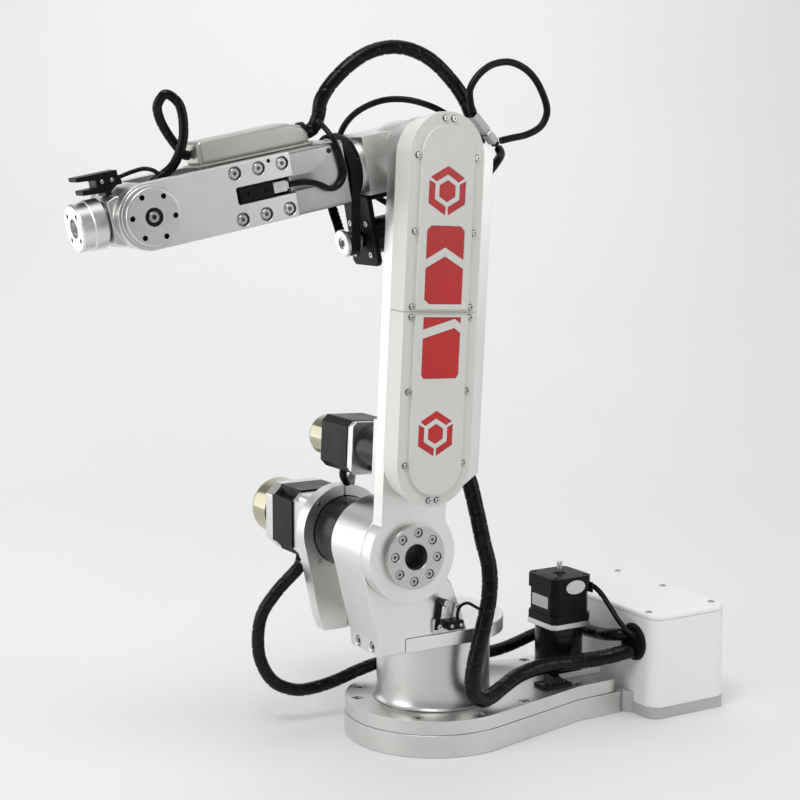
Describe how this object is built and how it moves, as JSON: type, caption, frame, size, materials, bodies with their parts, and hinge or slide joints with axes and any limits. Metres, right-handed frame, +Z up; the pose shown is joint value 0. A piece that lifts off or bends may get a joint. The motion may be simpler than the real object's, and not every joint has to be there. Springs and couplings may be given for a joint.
{
  "type": "desktop robot arm",
  "caption": "six-axis desktop robot arm in satin aluminium with white belt covers, stepper motors, spiral-wrapped cables and a white electronics box behind its base",
  "frame": {"origin": "on the vertical J1 axis at the underside of the base plate", "axes": "+X forward, away from the electronics box, the way the forearm reaches; +Y to the side with the covered arm plate; +Z up"},
  "size_m": [0.5677, 0.2585, 0.5612],
  "materials": {
    "aluminium": "satin anodised",
    "steel": "machined",
    "motor_black": "satin black",
    "cover_ivory": "satin, 3-D printed",
    "box_white": "gloss white",
    "floor_grey": "matte grey",
    "black_plastic": "matte black",
    "rubber_belt": "toothed belt",
    "cable_black": "spiral-wrapped cable"
  },
  "bodies": {
    "base": {"base_lower_plate": "aluminium", "base_top_plate": "aluminium", "enclosure_floor": "floor_grey", "enclosure_cover": "box_white", "enclosure_lid": "box_white", "cable_gland": "black_plastic", "cable_clip": "black_plastic", "j1_gearbox": "motor_black", "j1_motor": "motor_black", "j1_belt": "rubber_belt", "j1_motor_lead": "cable_black", "motor_loop": "cable_black", "harness_lower": "cable_black"},
    "j1_pinion": {"j1_motor_pulley": "aluminium"},
    "turret": {"turret_column": "aluminium", "j1_drive_pulley": "aluminium", "turret_platform": "aluminium", "j2_housing": "aluminium", "j2_motor_mount": "aluminium", "j2_gearbox": "motor_black", "j2_motor": "motor_black", "j2_limit_switch": "black_plastic", "j2_switch_lead": "cable_black"},
    "upper_arm": {"upper_arm_plate": "aluminium", "j2_output_flange": "aluminium", "arm_cover_lower": "cover_ivory", "arm_cover_upper": "cover_ivory", "j3_motor_bracket": "aluminium", "j3_gearbox": "motor_black", "j3_motor": "motor_black", "j3_belt": "rubber_belt", "cable_connector": "floor_grey", "harness_upper": "cable_black", "j3_motor_lead": "cable_black", "ring_loop": "cable_black"},
    "j3_pinion": {"j3_motor_pulley": "aluminium"},
    "elbow": {"elbow_housing": "aluminium", "j3_drive_pulley": "aluminium", "j4_motor_bracket": "motor_black", "j4_motor": "motor_black", "j4_belt": "rubber_belt", "top_loop_rear": "cable_black", "j4_motor_lead": "cable_black"},
    "j4_pinion": {"j4_motor_pulley": "steel"},
    "forearm": {"j4_drive_pulley": "aluminium", "forearm_body": "aluminium", "forearm_plate_near": "aluminium", "forearm_plate_far": "aluminium", "j5_motor": "motor_black", "j5_cover": "cover_ivory", "j4_limit_switch": "black_plastic", "j5_cap_near": "aluminium", "top_loop_front": "cable_black", "j4_switch_lead": "cable_black"},
    "wrist": {"wrist_housing": "aluminium", "j6_motor": "steel", "j6_limit_switch": "black_plastic", "wrist_lead": "cable_black", "j6_switch_lead": "cable_black"},
    "tool": {"tool_flange": "steel"}
  },
  "joints": [
    {"name": "j1_base", "type": "hinge", "parent": "base", "child": "turret", "pos_m": [0, 0, 0], "axis": [0, 0, 1], "range_deg": [-170, 170], "deforming": ["harness_lower", "motor_loop"]},
    {"name": "j1_pinion_spin", "type": "hinge", "parent": "base", "child": "j1_pinion", "pos_m": [-0.129, 0, 0.012], "axis": [0, 0, 1], "range_deg": [-690, 690]},
    {"name": "j2_shoulder", "type": "hinge", "parent": "turret", "child": "upper_arm", "pos_m": [0.0642, 0.024, 0.16977], "axis": [0, 1, 0], "range_deg": [-39, 90], "deforming": ["harness_upper", "j3_motor_lead"]},
    {"name": "j3_elbow", "type": "hinge", "parent": "upper_arm", "child": "elbow", "pos_m": [0.04962, 0.024, 0.47442], "axis": [0, -1, 0], "range_deg": [-38, 102], "deforming": ["top_loop_rear", "j4_motor_lead"]},
    {"name": "j3_pinion_spin", "type": "hinge", "parent": "upper_arm", "child": "j3_pinion", "pos_m": [0.06063, 0.08, 0.24438], "axis": [0, -1, 0], "range_deg": [-90, 215]},
    {"name": "j4_forearm_roll", "type": "hinge", "parent": "elbow", "child": "forearm", "pos_m": [0.10852, 0.024, 0.46297], "axis": [0.9816, 0, -0.1908], "range_deg": [-165, 165], "deforming": ["top_loop_front"]},
    {"name": "j4_pinion_spin", "type": "hinge", "parent": "elbow", "child": "j4_pinion", "pos_m": [0.09096, 0.024, 0.40934], "axis": [0.9816, 0, -0.1908], "range_deg": [-500, 500]},
    {"name": "j5_wrist", "type": "hinge", "parent": "forearm", "child": "wrist", "pos_m": [0.26816, 0.024, 0.43194], "axis": [0, 1, 0], "range_deg": [-105, 105], "deforming": ["wrist_lead"]},
    {"name": "j6_flange", "type": "hinge", "parent": "wrist", "child": "tool", "pos_m": [0.29503, 0.024, 0.42672], "axis": [0.9816, 0, -0.1908], "range_deg": [-155, 155]}
  ],
  "couplings": [
    {"joint": "j1_pinion_spin", "follows": "j1_base", "ratio": 4},
    {"joint": "j3_pinion_spin", "follows": "j3_elbow", "ratio": 2},
    {"joint": "j4_pinion_spin", "follows": "j4_forearm_roll", "ratio": 3}
  ]
}
